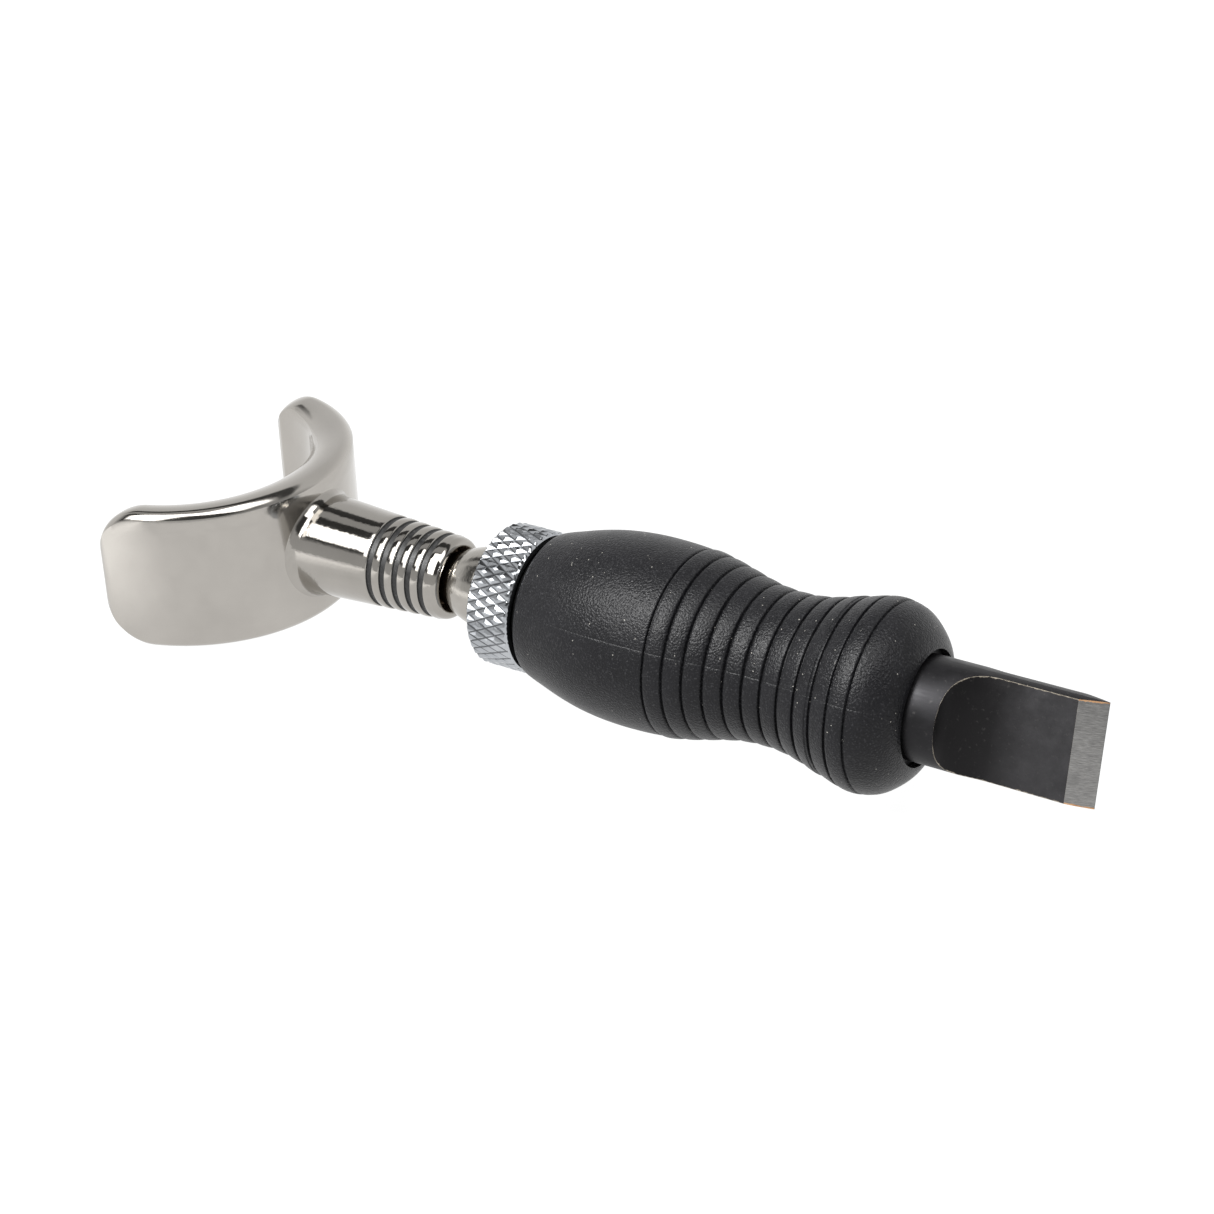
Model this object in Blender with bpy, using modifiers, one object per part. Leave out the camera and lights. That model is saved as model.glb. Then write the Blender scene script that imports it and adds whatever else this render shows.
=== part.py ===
"""Swivel knife for carving leather: a finger yoke, a ball-bearing swivel, a rubber grip and a round-shank blade.

The tool's own axis is local X, blade at +X, with x = 0 at the grip's upper rim. It lies on its side.
"""

import math

import bmesh
import bpy
from mathutils import Vector

MM = 0.001

# How the tool lies: on the yoke's lower rim and the grip's belly.
LIE_TILT = math.radians(1.955)
ORIGIN_X = 6.012
ORIGIN_Z = 8.5053
BARREL_TURN = math.radians(-12.5)

# Yoke
SADDLE_CENTRE_X = -41.4
SADDLE_OUTER_R = 15.5
SADDLE_NEAR_END = math.radians(-90.4)
SADDLE_FAR_END = math.radians(93.7)
SADDLE_THICK_TIP = 2.6
SADDLE_THICK_EXTRA = 1.7
SADDLE_HALF_WIDTH = 7.47
SADDLE_TIP_DROP = 0.25
SADDLE_CORNER_ALONG = 5.2
SADDLE_CORNER_ACROSS = 5.4
SADDLE_NOSE = 1.3
SADDLE_RIDGE = 1.1
SADDLE_OUTER_DROP = 0.85
SADDLE_OUTER_CREASE = math.radians(24)
SADDLE_INNER_DROP = 0.4
SADDLE_INNER_DROP_EXTRA = 1.2
SADDLE_INNER_CREASE = math.radians(78)
SADDLE_STATIONS = 30
STEM_ROOT_X = -28.0
STEM_ROOT_R = 5.05
STEM_END_X = -10.4
STEM_END_R = 4.0
STEM_BORE_R = 2.35
STEM_BORE_END_X = -28.3
STEM_COUNTERBORE_R = 2.85
STEM_COUNTERBORE_END_X = -13.6
STEM_MOUTH_R = 3.3
STEM_GROOVES = 5
STEM_GROOVE_X = -17.8
STEM_GROOVE_STEP = 1.42
STEM_GROOVE_HALF = 0.3
STEM_GROOVE_DEEP = 0.25

# Spindle
POST_R = 2.25
POST_START_X = -27.9
NECK = ((-12.6, 2.25), (-11.2, 2.4), (-10.0, 2.75), (-8.8, 3.2), (-7.4, 3.65), (-6.2, 3.95))
HUB_R = 4.1
HUB_X = -5.7
SHOULDER_R = 3.1
JOURNAL_R = 2.45
CLIP_GROOVE_R = 2.05
LOWER_JOURNAL_R = 2.0
SPINDLE_END_X = 15.3

# Knurled collar
COLLAR_LEFT_X = -5.2
COLLAR_RIGHT_X = -1.0
COLLAR_R = 6.75
COLLAR_RIM_R = 6.5
KNURL_DEEP = 0.28
KNURL_ROUND = 80
KNURL_ROWS = 7
COLLAR_BORE_R = 4.25
SPIGOT_R = 5.1
SPIGOT_END_X = 2.6
SEAL_LEFT_X = -0.9
SEAL_RIGHT_X = -0.1
SEAL_R = 6.6

# Bearing
RACE_LEFT_X = 3.2
RACE_RIGHT_X = 6.2
RACE_MID_X = 4.7
BALL_R = 0.75
BALL_COUNT = 7
PITCH_R = 3.8
TRACK_R = 0.81

# Barrel and grip
BARREL_R = 5.9
BARREL_END_X = 37.4
SOCKET_R = 5.2
SOCKET_END_X = 6.3
BUSH_BORE_R = 4.0
BUSH_BORE_END_X = 15.6
BALL_SEAT_R = 1.35
BALL_SEAT_END_X = 17.7
TANG_BORE_R = 2.5
TANG_BORE_START_X = 23.6
GRIP_BORE_R = 6.0
GRIP_END_X = 38.3
GRIP_MOUTH_R = 4.95
GRIP_GROOVES = 12
GRIP_GROOVE_X = 14.8
GRIP_GROOVE_STEP = 1.79
GRIP_GROOVE_HALF = 0.24
GRIP_GROOVE_DEEP = 0.34
GRIP_BAND_RISE = 0.1
GRIP_OUTLINE = (
    (0.0, 6.6), (0.25, 6.87), (1.0, 7.15), (2.0, 7.45), (4.0, 8.03), (6.0, 8.47), (8.0, 8.74),
    (10.0, 8.86), (12.0, 8.85), (14.0, 8.74), (16.0, 8.46), (18.0, 8.02), (20.0, 7.5),
    (22.0, 7.06), (24.0, 6.88), (26.0, 6.93), (28.0, 7.27), (30.0, 7.83), (32.0, 8.44),
    (33.0, 8.68), (34.0, 8.74), (35.0, 8.59), (36.0, 8.17), (37.0, 7.38), (37.7, 6.6),
    (38.15, 5.75), (38.3, 5.25),
)

# Blade
SHANK_R = 4.7625
SHANK_START_X = 37.5
TANG_R = 2.4
TANG_START_X = 24.1
BLADE_HALF_THICK = 0.91
RUN_OUT_X = 41.0
RUN_OUT_R = 3.9
BEVEL_X = 51.85
TIP_X = 54.25
EDGE_HALF_LAND = 0.03

# Set screws, both on the side away from the yoke's lower rim
SCREW_R = 1.4
SCREW_HOLE_R = 1.5
SCREW_KEY_R = 0.75
YOKE_SCREW_X = -21.2
BLADE_SCREW_X = 31.2

ROUND_SEGMENTS = 32
FINE_SEGMENTS = 28


def clear_scene():
    for item in list(bpy.data.objects):
        bpy.data.objects.remove(item, do_unlink=True)


def new_collection(name, hidden):
    made = bpy.data.collections.new(name)
    bpy.context.scene.collection.children.link(made)
    made.hide_render = hidden
    return made


clear_scene()
TOOL = new_collection("swivel_knife", False)
CUTTERS = new_collection("cutters", True)


def new_material(name, colour, metallic, roughness):
    made = bpy.data.materials.new(name)
    made.use_nodes = True
    made.diffuse_color = (*colour, 1.0)
    shader = made.node_tree.nodes["Principled BSDF"]
    shader.inputs["Base Color"].default_value = (*colour, 1.0)
    shader.inputs["Metallic"].default_value = metallic
    shader.inputs["Roughness"].default_value = roughness
    return made


LOOKS = {
    "nickel": ((0.72, 0.69, 0.65), 1.0, 0.18),
    "chrome": ((0.78, 0.79, 0.81), 1.0, 0.15),
    "bright_steel": ((0.62, 0.62, 0.64), 1.0, 0.2),
    "spring_steel": ((0.35, 0.35, 0.37), 1.0, 0.35),
    "black_oxide": ((0.03, 0.03, 0.035), 0.7, 0.4),
    "bronze": ((0.6, 0.38, 0.2), 1.0, 0.35),
    "cage_brass": ((0.75, 0.58, 0.3), 1.0, 0.3),
    "rubber": ((0.02, 0.02, 0.02), 0.0, 0.65),
    "nitrile": ((0.015, 0.015, 0.015), 0.0, 0.5),
}


def finish(item, look, smooth=True):
    item.data.materials.append(new_material(item.name, *LOOKS[look]))
    for face in item.data.polygons:
        face.use_smooth = smooth


def add_object(name, mesh, collection):
    item = bpy.data.objects.new(name, mesh)
    collection.objects.link(item)
    if collection is CUTTERS:
        item.hide_render = True
        item.display_type = "WIRE"
    return item


def turned(name, outer, inner=None, segments=ROUND_SEGMENTS, collection=None):
    """A turned piece on the X axis. outer and inner are (x, r) pairs in mm, each from low x to high x."""
    points = [(x, r) for x, r in reversed(outer)]
    if inner is None:
        points = [(outer[-1][0], 0.0)] + points + [(outer[0][0], 0.0)]
    else:
        points = points + list(inner)
    mesh = bpy.data.meshes.new(name)
    edges = [(i, i + 1) for i in range(len(points) - 1)]
    if inner is not None:
        edges.append((len(points) - 1, 0))
    mesh.from_pydata([(r * MM, 0.0, x * MM) for x, r in points], edges, [])
    item = add_object(name, mesh, collection or TOOL)
    item.rotation_euler = (0.0, math.pi / 2, 0.0)
    screw = item.modifiers.new("turn", "SCREW")
    screw.axis = "Z"
    screw.steps = segments
    screw.render_steps = segments
    screw.use_merge_vertices = True
    screw.merge_threshold = 0.00001
    screw.use_smooth_shade = True
    return item


def lofted(name, rings, collection=None):
    """A closed skin over rings of equal length, each a list of points in mm, with flat end caps."""
    size = len(rings[0])
    points = [Vector(p) * MM for ring in rings for p in ring]
    faces = []
    for i in range(len(rings) - 1):
        for j in range(size):
            k = (j + 1) % size
            faces.append((i * size + j, i * size + k, (i + 1) * size + k, (i + 1) * size + j))
    faces.append(tuple(reversed(range(size))))
    faces.append(tuple(range((len(rings) - 1) * size, len(rings) * size)))
    mesh = bpy.data.meshes.new(name)
    mesh.from_pydata(points, [], faces)
    face_outward(mesh)
    return add_object(name, mesh, collection or TOOL)


def face_outward(mesh):
    shape = bmesh.new()
    shape.from_mesh(mesh)
    bmesh.ops.recalc_face_normals(shape, faces=shape.faces)
    shape.to_mesh(mesh)
    shape.free()


def prism(name, outline, low, high):
    """A cutter with an XY outline in mm between two heights."""
    return lofted(name, [[(x, y, z) for x, y in outline] for z in (low, high)], CUTTERS)


def radial_rod(name, x, radius, inner, outer, sides, collection):
    """A straight rod on +Y at this x, from one distance off the axis to another."""
    ring = [2 * math.pi * i / sides for i in range(sides)]
    ends = [[(x + radius * math.cos(a), y, radius * math.sin(a)) for a in ring] for y in (inner, outer)]
    return lofted(name, ends, collection)


def boolean(item, other, operation):
    step = item.modifiers.new(operation.lower() + "_" + other.name, "BOOLEAN")
    step.object = other
    step.operation = operation
    step.solver = "EXACT"


def under(parent, *children):
    for child in children:
        child.parent = parent


def empty(name, parent=None):
    made = bpy.data.objects.new(name, None)
    TOOL.objects.link(made)
    made.parent = parent
    return made


# Axes: the whole tool as it lies, and the barrel turned on its swivel
tool_axis = empty("tool_axis")
tool_axis.rotation_euler = (0.0, -LIE_TILT, 0.0)
tool_axis.location = (-ORIGIN_X * MM, 0.0, ORIGIN_Z * MM)
barrel_axis = empty("barrel_axis", tool_axis)
barrel_axis.rotation_euler = (BARREL_TURN, 0.0, 0.0)


# Yoke: a curved finger saddle on a grooved stem
def quarter_round(part):
    """How far a quarter round has dropped, from 1 at its start to 0 at its crest."""
    return 1 - math.sqrt(max(0.0, 1 - (1 - min(1.0, part)) ** 2))


def rim_profile(thick, top, room, outer_drop, inner_drop):
    """(depth from the outer face, height) over a rim: a tight outer round, a ridge, a long inner slope."""
    ridge = min(SADDLE_RIDGE, thick * 0.42)
    outer_drop = min(outer_drop, room * 0.25)
    inner_drop = min(inner_drop, room * 0.33)
    points = []
    for i in range(4):
        turn = SADDLE_OUTER_CREASE + (math.pi / 2 - SADDLE_OUTER_CREASE) * i / 3
        depth = 1 - math.cos(turn) / math.cos(SADDLE_OUTER_CREASE)
        rise = (math.sin(turn) - math.sin(SADDLE_OUTER_CREASE)) / (1 - math.sin(SADDLE_OUTER_CREASE))
        points.append((ridge * depth, top - outer_drop * (1 - rise)))
    for i in range(1, 5):
        turn = SADDLE_INNER_CREASE * i / 4
        depth = math.sin(turn) / math.sin(SADDLE_INNER_CREASE)
        drop = (1 - math.cos(turn)) / (1 - math.cos(SADDLE_INNER_CREASE))
        points.append((ridge + (thick - ridge) * depth, top - inner_drop * drop))
    return points


def saddle_section(angle):
    reach = SADDLE_OUTER_R * min(angle - SADDLE_NEAR_END, SADDLE_FAR_END - angle)
    middle = max(0.0, math.cos(angle))
    side = math.sin(angle) ** 2
    nose = max(0.06, 1 - quarter_round(reach / SADDLE_NOSE))
    full = SADDLE_THICK_TIP + SADDLE_THICK_EXTRA * middle ** 0.75
    start = SADDLE_OUTER_R - full * 0.45 * (1 - nose)
    top = SADDLE_HALF_WIDTH - SADDLE_TIP_DROP * side - 0.3 * (1 - nose)
    top -= SADDLE_CORNER_ACROSS * quarter_round(reach / SADDLE_CORNER_ALONG)
    rim = rim_profile(
        full * nose, top, 2 * top, SADDLE_OUTER_DROP - 0.2 * side,
        SADDLE_INNER_DROP + SADDLE_INNER_DROP_EXTRA * middle,
    )
    points = rim + [(depth, -up) for depth, up in reversed(rim)]
    return [
        (SADDLE_CENTRE_X + (start - depth) * math.cos(angle), (start - depth) * math.sin(angle), up)
        for depth, up in points
    ]


def saddle_angles():
    middle = (SADDLE_NEAR_END + SADDLE_FAR_END) / 2
    half = (SADDLE_FAR_END - SADDLE_NEAR_END) / 2
    return [
        middle + half * math.sin(math.pi / 2 * (2 * i / SADDLE_STATIONS - 1)) for i in range(SADDLE_STATIONS + 1)
    ]


saddle = lofted("saddle", [saddle_section(angle) for angle in saddle_angles()], CUTTERS)


def stem_radius(x):
    part = (x - STEM_ROOT_X) / (STEM_END_X - STEM_ROOT_X)
    return STEM_ROOT_R + (STEM_END_R - STEM_ROOT_R) * part


stem_outer = [(STEM_ROOT_X, STEM_ROOT_R)]
for i in range(STEM_GROOVES):
    middle = STEM_GROOVE_X + i * STEM_GROOVE_STEP
    for offset, depth in ((-1.0, 0.0), (-0.7, 1.0), (0.7, 1.0), (1.0, 0.0)):
        x = middle + offset * STEM_GROOVE_HALF
        stem_outer.append((x, stem_radius(x) - depth * STEM_GROOVE_DEEP))
for back, drop in ((0.9, 0.0), (0.4, 0.12), (0.12, 0.38), (0.0, 0.62)):
    stem_outer.append((STEM_END_X - back, stem_radius(STEM_END_X) - drop))
stem_outer.append((STEM_END_X - 0.05, STEM_MOUTH_R))
stem_outer.append((STEM_END_X - 0.65, STEM_COUNTERBORE_R))
stem_outer.append((STEM_COUNTERBORE_END_X, STEM_COUNTERBORE_R))
yoke = turned("yoke", stem_outer)
boolean(yoke, saddle, "UNION")
stem_bore = turned(
    "stem_bore", ((STEM_BORE_END_X, STEM_BORE_R), (STEM_END_X + 2.0, STEM_BORE_R)), segments=32, collection=CUTTERS
)
boolean(yoke, stem_bore, "DIFFERENCE")
yoke_screw_hole = radial_rod("yoke_screw_hole", YOKE_SCREW_X, SCREW_HOLE_R, 0.6, 8.0, 20, CUTTERS)
boolean(yoke, yoke_screw_hole, "DIFFERENCE")
finish(yoke, "nickel")
under(tool_axis, yoke, saddle, stem_bore, yoke_screw_hole)


# Set screws with a hexagon socket
def set_screw(name, x, inner, outer):
    screw = radial_rod(name, x, SCREW_R, inner, outer, 20, TOOL)
    key = radial_rod(name + "_key", x, SCREW_KEY_R, outer - 1.1, outer + 1.0, 6, CUTTERS)
    boolean(screw, key, "DIFFERENCE")
    finish(screw, "black_oxide", smooth=False)
    return screw, key


yoke_set_screw, yoke_key = set_screw("yoke_set_screw", YOKE_SCREW_X, POST_R + 0.1, 4.6)
under(tool_axis, yoke_set_screw, yoke_key)

# Spindle: post, flared neck, hub, bearing journal, clip groove and lower journal
spindle = turned(
    "spindle",
    (
        (POST_START_X, POST_R - 0.3), (POST_START_X + 0.3, POST_R), *NECK, (HUB_X, HUB_R), (-1.2, HUB_R),
        (-0.9, SHOULDER_R), (3.1, SHOULDER_R), (3.1, JOURNAL_R), (6.35, JOURNAL_R),
        (6.35, CLIP_GROOVE_R), (7.05, CLIP_GROOVE_R), (7.05, JOURNAL_R), (7.7, JOURNAL_R),
        (8.2, LOWER_JOURNAL_R), (SPINDLE_END_X - 0.5, LOWER_JOURNAL_R),
        (SPINDLE_END_X, LOWER_JOURNAL_R - 0.5),
    ),
    segments=32,
)
finish(spindle, "nickel")


# Knurled collar: a diamond-knurled head with plain rims, over a spigot that enters the barrel
def collar_rings():
    rings = []
    knurl_start = COLLAR_LEFT_X + 0.45
    knurl_end = COLLAR_RIGHT_X - 0.45

    def ring(x, radii):
        steps = [2 * math.pi * i / KNURL_ROUND for i in range(KNURL_ROUND)]
        return [(x, r * math.cos(a), r * math.sin(a)) for a, r in zip(steps, radii)]

    def plain(x, radius):
        rings.append(ring(x, [radius] * KNURL_ROUND))

    plain(COLLAR_LEFT_X, COLLAR_RIM_R - 0.25)
    plain(COLLAR_LEFT_X + 0.2, COLLAR_RIM_R)
    plain(knurl_start - 0.02, COLLAR_RIM_R)
    for row in range(KNURL_ROWS):
        x = knurl_start + (knurl_end - knurl_start) * row / (KNURL_ROWS - 1)
        radii = [COLLAR_R - KNURL_DEEP * ((i + row) % 2) for i in range(KNURL_ROUND)]
        rings.append(ring(x, radii))
    plain(knurl_end + 0.02, COLLAR_RIM_R)
    plain(COLLAR_RIGHT_X - 0.2, COLLAR_RIM_R)
    plain(COLLAR_RIGHT_X, COLLAR_RIM_R - 0.25)
    plain(COLLAR_RIGHT_X + 0.01, SPIGOT_R)
    plain(SPIGOT_END_X, SPIGOT_R)
    return rings


collar = lofted("collar", collar_rings())
collar_bore = turned(
    "collar_bore", ((COLLAR_LEFT_X - 2.0, COLLAR_BORE_R), (SPIGOT_END_X + 2.0, COLLAR_BORE_R)), collection=CUTTERS
)
boolean(collar, collar_bore, "DIFFERENCE")
finish(collar, "chrome", smooth=False)

collar_seal = turned(
    "collar_seal", ((SEAL_LEFT_X, SEAL_R), (SEAL_RIGHT_X, SEAL_R)), ((SEAL_LEFT_X, 5.25), (SEAL_RIGHT_X, 5.25))
)
finish(collar_seal, "nitrile")

preload_washer = turned("preload_washer", ((2.7, 5.1), (3.1, 5.1)), ((2.7, 4.4), (3.1, 4.4)), FINE_SEGMENTS)
finish(preload_washer, "spring_steel")


# Ball bearing
def track(sign, start, end):
    """Points of a race's wall at r = start, with the ball track cut into it, from low x to high x."""
    reach = math.acos(abs(start - PITCH_R) / TRACK_R)
    points = []
    for i in range(5):
        turn = -reach + reach * i / 2
        points.append((RACE_MID_X + TRACK_R * math.sin(turn), PITCH_R + sign * TRACK_R * math.cos(turn)))
    return [(RACE_LEFT_X, start)] + points + [(RACE_RIGHT_X, end)]


outer_race = turned(
    "bearing_outer_race", ((RACE_LEFT_X, 5.1), (RACE_RIGHT_X, 5.1)), track(1.0, 4.3, 4.3), FINE_SEGMENTS
)
finish(outer_race, "bright_steel")
inner_race = turned(
    "bearing_inner_race", track(-1.0, 3.3, 3.3), ((RACE_LEFT_X, 2.55), (RACE_RIGHT_X, 2.55)), FINE_SEGMENTS
)
finish(inner_race, "bright_steel")

cage = turned("bearing_cage", ((3.6, 4.1), (5.8, 4.1)), ((3.6, 3.5), (5.8, 3.5)), FINE_SEGMENTS)
for i in range(BALL_COUNT):
    angle = 2 * math.pi * i / BALL_COUNT
    pocket = radial_rod(f"cage_pocket_{i + 1}", RACE_MID_X, BALL_R + 0.1, 2.9, 4.7, 12, CUTTERS)
    pocket.rotation_euler = (angle, 0.0, 0.0)
    boolean(cage, pocket, "DIFFERENCE")
    under(tool_axis, pocket)
finish(cage, "cage_brass", smooth=False)

balls = []
for i in range(BALL_COUNT):
    angle = 2 * math.pi * i / BALL_COUNT
    mesh = bpy.data.meshes.new(f"bearing_ball_{i + 1}")
    shape = bmesh.new()
    bmesh.ops.create_uvsphere(shape, u_segments=12, v_segments=7, radius=BALL_R * MM)
    shape.to_mesh(mesh)
    shape.free()
    ball = add_object(mesh.name, mesh, TOOL)
    ball.location = (RACE_MID_X * MM, PITCH_R * math.cos(angle) * MM, PITCH_R * math.sin(angle) * MM)
    finish(ball, "bright_steel")
    balls.append(ball)

shields = []
for name, x in (("bearing_shield_upper", 3.25), ("bearing_shield_lower", 5.97)):
    shield = turned(name, ((x, 4.2), (x + 0.18, 4.2)), ((x, 3.45), (x + 0.18, 3.45)), FINE_SEGMENTS)
    finish(shield, "spring_steel")
    shields.append(shield)

# Split clip under the inner race
clip = turned("retaining_clip", ((6.4, 3.3), (7.0, 3.3)), ((6.4, 2.12), (7.0, 2.12)), FINE_SEGMENTS)
clip_gap = radial_rod("clip_gap", 6.7, 1.0, 1.2, 5.0, 4, CUTTERS)
boolean(clip, clip_gap, "DIFFERENCE")
finish(clip, "spring_steel")

lower_bush = turned("lower_bush", ((10.2, 3.9), (15.4, 3.9)), ((10.2, 2.08), (15.4, 2.08)), FINE_SEGMENTS)
finish(lower_bush, "bronze")

thrust_mesh = bpy.data.meshes.new("thrust_ball")
shape = bmesh.new()
bmesh.ops.create_uvsphere(shape, u_segments=12, v_segments=8, radius=1.15 * MM)
shape.to_mesh(thrust_mesh)
shape.free()
thrust_ball = add_object("thrust_ball", thrust_mesh, TOOL)
thrust_ball.location = (16.5 * MM, 0.0, 0.0)
finish(thrust_ball, "bright_steel")

# Barrel: one turned core, open at both ends, solid between the ball's seat and the tang's socket
barrel = turned(
    "barrel",
    (
        (BALL_SEAT_END_X, BALL_SEAT_R), (BUSH_BORE_END_X, BALL_SEAT_R), (BUSH_BORE_END_X, BUSH_BORE_R),
        (SOCKET_END_X, BUSH_BORE_R), (SOCKET_END_X, SOCKET_R), (0.0, SOCKET_R), (0.0, BARREL_R),
        (BARREL_END_X - 0.3, BARREL_R), (BARREL_END_X, BARREL_R - 0.3), (BARREL_END_X, TANG_BORE_R),
        (TANG_BORE_START_X, TANG_BORE_R),
    ),
)
barrel_hole = radial_rod("barrel_hole", BLADE_SCREW_X, SCREW_HOLE_R, 0.8, 8.0, 20, CUTTERS)
boolean(barrel, barrel_hole, "DIFFERENCE")
finish(barrel, "bright_steel")


# Grip: a moulded rubber sleeve with finger grooves
def outline_radius(x):
    for (x0, r0), (x1, r1) in zip(GRIP_OUTLINE, GRIP_OUTLINE[1:]):
        if x0 <= x <= x1:
            return r0 + (r1 - r0) * (x - x0) / (x1 - x0)
    return GRIP_OUTLINE[-1][1]


def grip_outer():
    first = GRIP_GROOVE_X
    last = GRIP_GROOVE_X + (GRIP_GROOVES - 1) * GRIP_GROOVE_STEP
    points = [(x, r) for x, r in GRIP_OUTLINE if x < first - GRIP_GROOVE_STEP / 2]
    for i in range(GRIP_GROOVES):
        middle = first + i * GRIP_GROOVE_STEP
        for offset, depth in ((-1.0, 0.0), (0.0, 1.0), (1.0, 0.0)):
            x = middle + offset * GRIP_GROOVE_HALF
            points.append((x, outline_radius(x) - depth * GRIP_GROOVE_DEEP))
        if i < GRIP_GROOVES - 1:
            x = middle + GRIP_GROOVE_STEP / 2
            points.append((x, outline_radius(x) + GRIP_BAND_RISE))
    points += [(x, r) for x, r in GRIP_OUTLINE if x > last + GRIP_GROOVE_STEP / 3]
    return points


grip = turned(
    "grip",
    grip_outer(),
    (
        (0.0, GRIP_BORE_R), (BARREL_END_X + 0.15, GRIP_BORE_R), (BARREL_END_X + 0.25, GRIP_MOUTH_R),
        (GRIP_END_X, GRIP_MOUTH_R),
    ),
    segments=36,
)
grip_hole = radial_rod("grip_hole", BLADE_SCREW_X, SCREW_HOLE_R + 0.3, 3.0, 12.0, 20, CUTTERS)
boolean(grip, grip_hole, "DIFFERENCE")
finish(grip, "rubber")

# Blade: a round shank milled to a flat blade with a straight, double-bevelled edge
blade = turned(
    "blade",
    (
        (TANG_START_X, TANG_R - 0.4), (TANG_START_X + 0.4, TANG_R), (SHANK_START_X, TANG_R),
        (SHANK_START_X, SHANK_R - 0.25), (SHANK_START_X + 0.25, SHANK_R), (TIP_X, SHANK_R),
    ),
    segments=40,
)
blade_cutters = []
for side in (-1.0, 1.0):
    outline = []
    for i in range(9):
        turn = math.pi / 2 * i / 8
        x = RUN_OUT_X + RUN_OUT_R * (1 - math.cos(turn))
        y = SHANK_R + 0.1 - (SHANK_R + 0.1 - BLADE_HALF_THICK) * math.sin(turn)
        outline.append((x, side * y))
    outline.append((BEVEL_X, side * BLADE_HALF_THICK))
    outline.append((TIP_X + 0.05, side * EDGE_HALF_LAND))
    outline.append((TIP_X + 3.0, side * EDGE_HALF_LAND))
    outline.append((TIP_X + 3.0, side * 8.0))
    outline.append((RUN_OUT_X, side * 8.0))
    cutter = prism(f"blade_cutter_{'near' if side < 0 else 'far'}", outline, -8.0, 8.0)
    boolean(blade, cutter, "DIFFERENCE")
    blade_cutters.append(cutter)
tang_flat = prism("tang_flat", ((20.0, 2.0), (34.6, 2.0), (34.6, 4.0), (20.0, 4.0)), -4.0, 4.0)
boolean(blade, tang_flat, "DIFFERENCE")
finish(blade, "black_oxide")

blade_set_screw, blade_key = set_screw("blade_set_screw", BLADE_SCREW_X, 2.1, 5.7)

under(barrel_axis, barrel, barrel_hole, grip, grip_hole, blade, tang_flat, *blade_cutters)
under(barrel_axis, blade_set_screw, blade_key)
under(tool_axis, spindle, collar, collar_bore, collar_seal, preload_washer, outer_race, inner_race)
under(tool_axis, cage, *balls, *shields, clip, clip_gap, lower_bush, thrust_ball)
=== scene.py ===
import contextlib
import math

import bmesh
import bpy
from mathutils import Matrix, Vector


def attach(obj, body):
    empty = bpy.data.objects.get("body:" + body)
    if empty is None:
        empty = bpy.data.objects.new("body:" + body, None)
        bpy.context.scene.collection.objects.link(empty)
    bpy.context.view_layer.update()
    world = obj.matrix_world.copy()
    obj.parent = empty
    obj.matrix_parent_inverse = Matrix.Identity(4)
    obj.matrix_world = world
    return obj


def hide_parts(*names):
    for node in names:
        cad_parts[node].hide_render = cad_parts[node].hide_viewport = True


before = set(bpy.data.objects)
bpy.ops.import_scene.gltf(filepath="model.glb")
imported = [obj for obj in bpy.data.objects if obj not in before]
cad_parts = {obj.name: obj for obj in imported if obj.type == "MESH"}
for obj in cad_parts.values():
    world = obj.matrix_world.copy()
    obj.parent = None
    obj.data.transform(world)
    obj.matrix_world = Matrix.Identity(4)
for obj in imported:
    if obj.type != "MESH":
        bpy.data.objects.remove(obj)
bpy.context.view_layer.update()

# A swivel knife for carving leather, lying on its saddle and its grip. Shapes are given in mm in the tool's
# frame: X runs along the axis from the saddle to the blade and is 0 at the grip's upper rim, and Z is up.
# The barrel's frame is the tool's, turned about X, and holds the grip and the blade.
MM = 0.001
LIE_TILT = math.radians(1.955)
BARREL_TURN = math.radians(-12.5)
TOOL = Matrix.Translation((-6.012 * MM, 0.0, 8.5053 * MM)) @ Matrix.Rotation(-LIE_TILT, 4, "Y")
BARREL = TOOL @ Matrix.Rotation(BARREL_TURN, 4, "X")
YOKE_SCREW_X = -21.2
BLADE_SCREW_X = 31.2


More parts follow.
